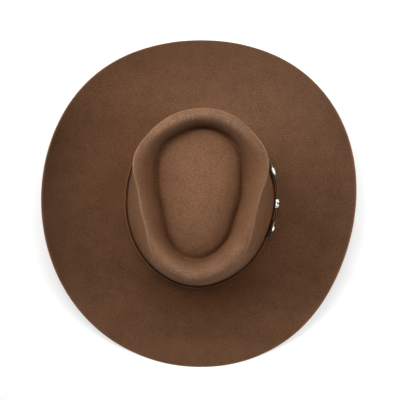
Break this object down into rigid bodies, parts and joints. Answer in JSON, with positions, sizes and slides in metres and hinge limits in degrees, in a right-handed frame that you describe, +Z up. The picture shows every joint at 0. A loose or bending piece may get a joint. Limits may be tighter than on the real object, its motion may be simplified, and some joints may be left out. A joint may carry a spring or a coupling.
{
  "type": "felt hat",
  "caption": "Wide-brimmed felt hat with rolled sides, a crown dented round its top, and a felt strap with a silver buckle, keeper and tip.",
  "frame": {"origin": "on the table under the middle of the hat's own box", "axes": "+Z up through the crown, -Y to the wearer's front, +X to the wearer's left"},
  "size_m": [0.3654, 0.388, 0.13],
  "materials": {
    "brown_felt": "short-napped fur felt, matt",
    "strap_felt": "the same felt cut as a strap, matt",
    "silver": "cast and engraved silver, darkened in its recesses"
  },
  "bodies": {
    "root": {"felt_body": "brown_felt", "hat_band": "strap_felt", "buckle_frame": "silver", "buckle_tongue": "silver", "keeper": "silver", "strap_tip": "silver"}
  },
  "joints": []
}
